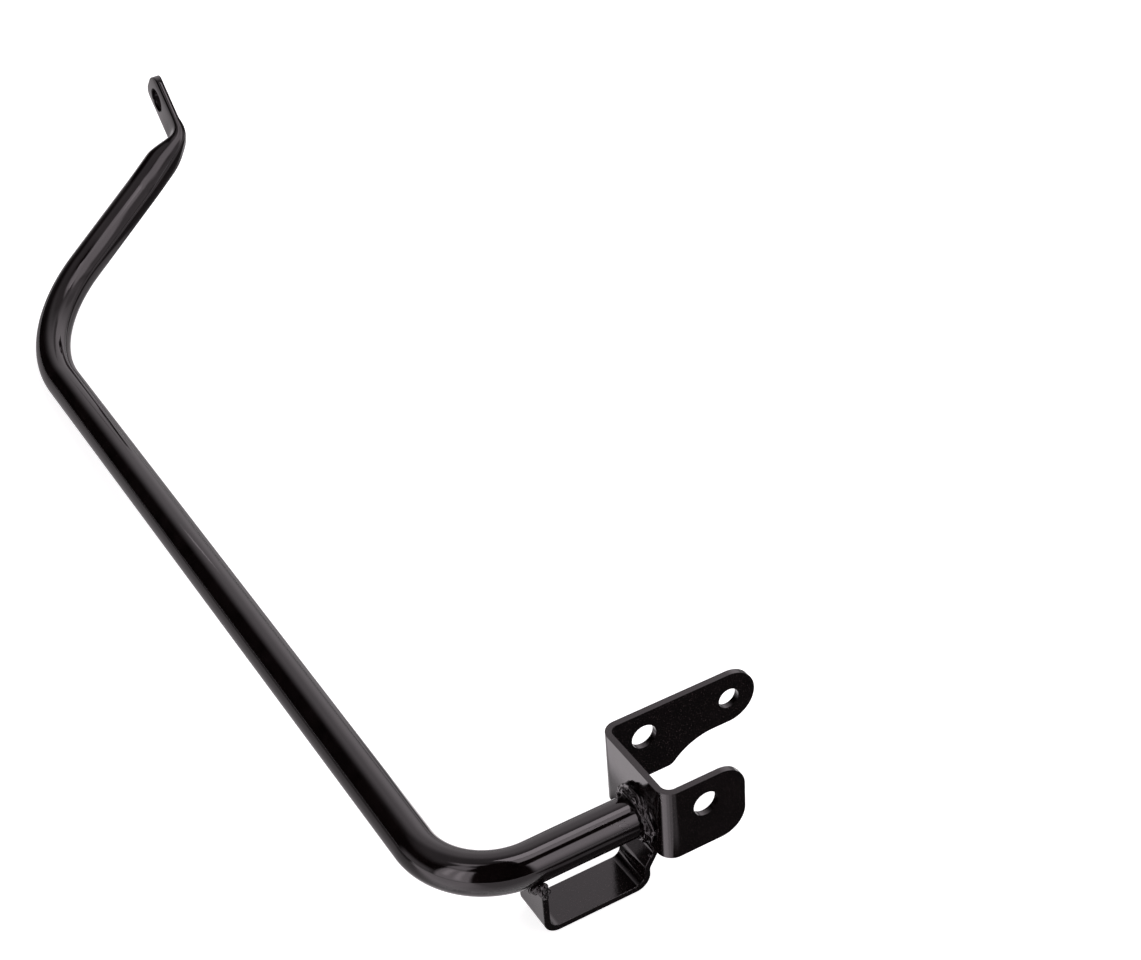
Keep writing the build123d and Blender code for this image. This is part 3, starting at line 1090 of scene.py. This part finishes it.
def card_material(name, radiance, soft_x, soft_y):
    """A plain one-sided card with soft edges."""
    material = bare_material(name)
    tree = material.node_tree
    split = add_node(tree, "SeparateXYZ", {0: add_node(tree, "TexCoord").outputs["Object"]})
    inside = figure(
        tree, "MULTIPLY", span(tree, split.outputs["X"], soft_x - 0.5, 0.5 - soft_x, soft_x),
        span(tree, split.outputs["Y"], soft_y - 0.5, 0.5 - soft_y, soft_y))
    front = figure(tree, "SUBTRACT", 1.0, add_node(tree, "NewGeometry").outputs["Backfacing"])
    clear = add_node(tree, "BsdfTransparent")
    plain = add_node(tree, "Emission", {"Color": (*LIGHT_TINT, 1), "Strength": radiance})
    seen = figure(tree, "MULTIPLY", inside, front)
    both = add_node(tree, "MixShader", {0: seen, 1: clear.outputs[0], 2: plain.outputs[0]})
    add_node(tree, "OutputMaterial", {"Surface": both.outputs[0]})
    return material


def card(name, place, turn, width, tall, soft, radiance):
    """A studio card, out of the camera's sight, that shows only in reflections."""
    bpy.ops.mesh.primitive_plane_add(size=1, location=place, rotation=turn)
    piece = bpy.context.object
    piece.name = piece.data.name = name
    piece.scale = (width, tall, 1)
    piece.data.materials.append(card_material(name, radiance, soft / width, soft / tall))
    piece.visible_camera = piece.visible_shadow = piece.visible_diffuse = False


def top_lamp(name, place, width, tall, radiance):
    """A rectangular softbox that hangs over the frame and faces down."""
    lamp = bpy.data.lights.new(name, "AREA")
    lamp.shape = "RECTANGLE"
    lamp.size = width
    lamp.size_y = tall
    lamp.color = LIGHT_TINT
    lamp.energy = radiance * pi * width * tall
    box = bpy.data.objects.new(name, lamp)
    bpy.context.scene.collection.objects.link(box)
    box.location = place


def studio_world():
    """Soft studio light from all round: softboxes, a pale wall on the right, dark behind the camera."""
    world = bpy.data.worlds.new("studio")
    bpy.context.scene.world = world
    world.use_nodes = True
    tree = world.node_tree
    split = add_node(tree, "SeparateXYZ", {0: add_node(tree, "TexCoord").outputs["Generated"]})
    azimuth = figure(tree, "ARCTAN2", split.outputs["X"], split.outputs["Y"])
    elevation = figure(tree, "ARCSINE", split.outputs["Z"], 0)
    total = DARK_STUDIO
    for *edges, radiance in STUDIO_LIGHTS:
        west, east, side_soft, low, low_soft, high, high_soft = map(radians, edges)
        patch = figure(
            tree, "MULTIPLY", span(tree, azimuth, west, east, side_soft),
            span(tree, elevation, low, high, low_soft, high_soft))
        total = figure(tree, "ADD", figure(tree, "MULTIPLY", patch, radiance), total)
    seen = add_node(tree, "LightPath").outputs["Is Camera Ray"]
    sky = tree.nodes["Background"]
    tree.links.new(mixed(tree, seen, (*LIGHT_TINT, 1), (1, 1, 1, 1)), sky.inputs["Color"])
    tree.links.new(figure(tree, "MAXIMUM", total, seen), sky.inputs["Strength"])


def photo_camera(scene):
    """Sets a camera at the photograph's angle."""
    ahead = Vector(CAMERA_AHEAD).normalized()
    right = Vector(CAMERA_RIGHT)
    right = (right - ahead * right.dot(ahead)).normalized()
    turn = Matrix((right, right.cross(ahead), -ahead)).transposed().to_4x4()
    lens = bpy.data.cameras.new("camera")
    lens.sensor_fit = "HORIZONTAL"
    lens.sensor_width = SENSOR_WIDTH
    lens.lens = SENSOR_WIDTH * FOCAL_PIXELS / PICTURE_PIXELS
    lens.clip_start = 0.01
    camera = bpy.data.objects.new("camera", lens)
    scene.collection.objects.link(camera)
    camera.matrix_world = Matrix.Translation(CAMERA_PLACE) @ turn
    scene.camera = camera


class PANNIER_OT_stage(bpy.types.Operator):
    """Sets the floor, the studio lights and the camera"""
    bl_idname = "pannier.stage"
    bl_label = "Stage"

    def execute(self, context):
        scene = context.scene
        tube = scene.pannier_tube
        route = tube_route(tube)
        scene.view_settings.view_transform = "Standard"

        turn = route.heading.angle(Vector((0, 1, 0)))
        touch_y = route.shoulder.y - tube.shoulder_radius * tan(turn / 2)
        slope = (TUBE_LOW.z - STRAP_LOW.z) / (touch_y - STRAP_HIGH.y)
        tilt = atan2(slope, 1)

        def level(y):
            return STRAP_LOW.z + slope * (y - STRAP_HIGH.y)

        bpy.ops.mesh.primitive_plane_add(
            size=FLOOR_SIZE, location=(0, FLOOR_MIDDLE_Y, level(FLOOR_MIDDLE_Y)), rotation=(tilt, 0, 0))
        floor = context.object
        floor.name = floor.data.name = "studio_floor"
        floor.data.materials.append(floor_material(scene.pannier_finish.floor))

        for height, (name, (middle, spin, *size_and_light)) in enumerate(FLOOR_CARDS.items()):
            turn = Matrix.Rotation(tilt, 3, "X") @ Matrix.Rotation(radians(spin), 3, "Z")
            place = (*middle, level(middle[1]) + CARD_LIFT + CARD_STEP * height)
            card(name, place, turn.to_euler(), *size_and_light)
        for name, (place, facing, roll, *size_and_light) in NEAR_CARDS.items():
            turned = Vector(facing).to_track_quat("Z", "Y").to_matrix()
            turn = turned @ Matrix.Rotation(radians(roll), 3, "Z")
            card(name, place, turn.to_euler(), *size_and_light)
        for name, light in TOP_LAMPS.items():
            top_lamp(name, *light)
        studio_world()
        photo_camera(scene)
        return {"FINISHED"}


class PANNIER_PT_sidebar(bpy.types.Panel):
    """Lists the steps that build the pannier frame"""
    bl_idname = "PANNIER_PT_sidebar"
    bl_label = "Pannier Frame"
    bl_space_type = "VIEW_3D"
    bl_region_type = "UI"
    bl_category = "Pannier Frame"

    def draw(self, context):
        for step in STEPS:
            self.layout.operator(step.bl_idname)
        for group in GROUPS:
            sizes = getattr(context.scene, group)
            column = self.layout.column()
            for name in sizes.__annotations__:
                column.prop(sizes, name)


STEPS = (
    PANNIER_OT_bent_tube,
    PANNIER_OT_folded_bracket,
    PANNIER_OT_strap_loop,
    PANNIER_OT_welds,
    PANNIER_OT_stage,
)
GROUPS = {
    "pannier_tube": PannierTube,
    "pannier_bracket": PannierBracket,
    "pannier_strap": PannierStrap,
    "pannier_welds": PannierWelds,
    "pannier_finish": PannierFinish,
}


def register():
    for kind in (*GROUPS.values(), *STEPS, PANNIER_PT_sidebar):
        bpy.utils.register_class(kind)
    for name, group in GROUPS.items():
        setattr(bpy.types.Scene, name, PointerProperty(type=group))


def unregister():
    for name in GROUPS:
        delattr(bpy.types.Scene, name)
    for kind in reversed((*GROUPS.values(), *STEPS, PANNIER_PT_sidebar)):
        bpy.utils.unregister_class(kind)


def main():
    register()
    bpy.ops.pannier.bent_tube()
    bpy.ops.pannier.folded_bracket()
    bpy.ops.pannier.strap_loop()
    bpy.ops.pannier.welds()
    bpy.ops.pannier.stage()


if __name__ == "__main__":
    main()
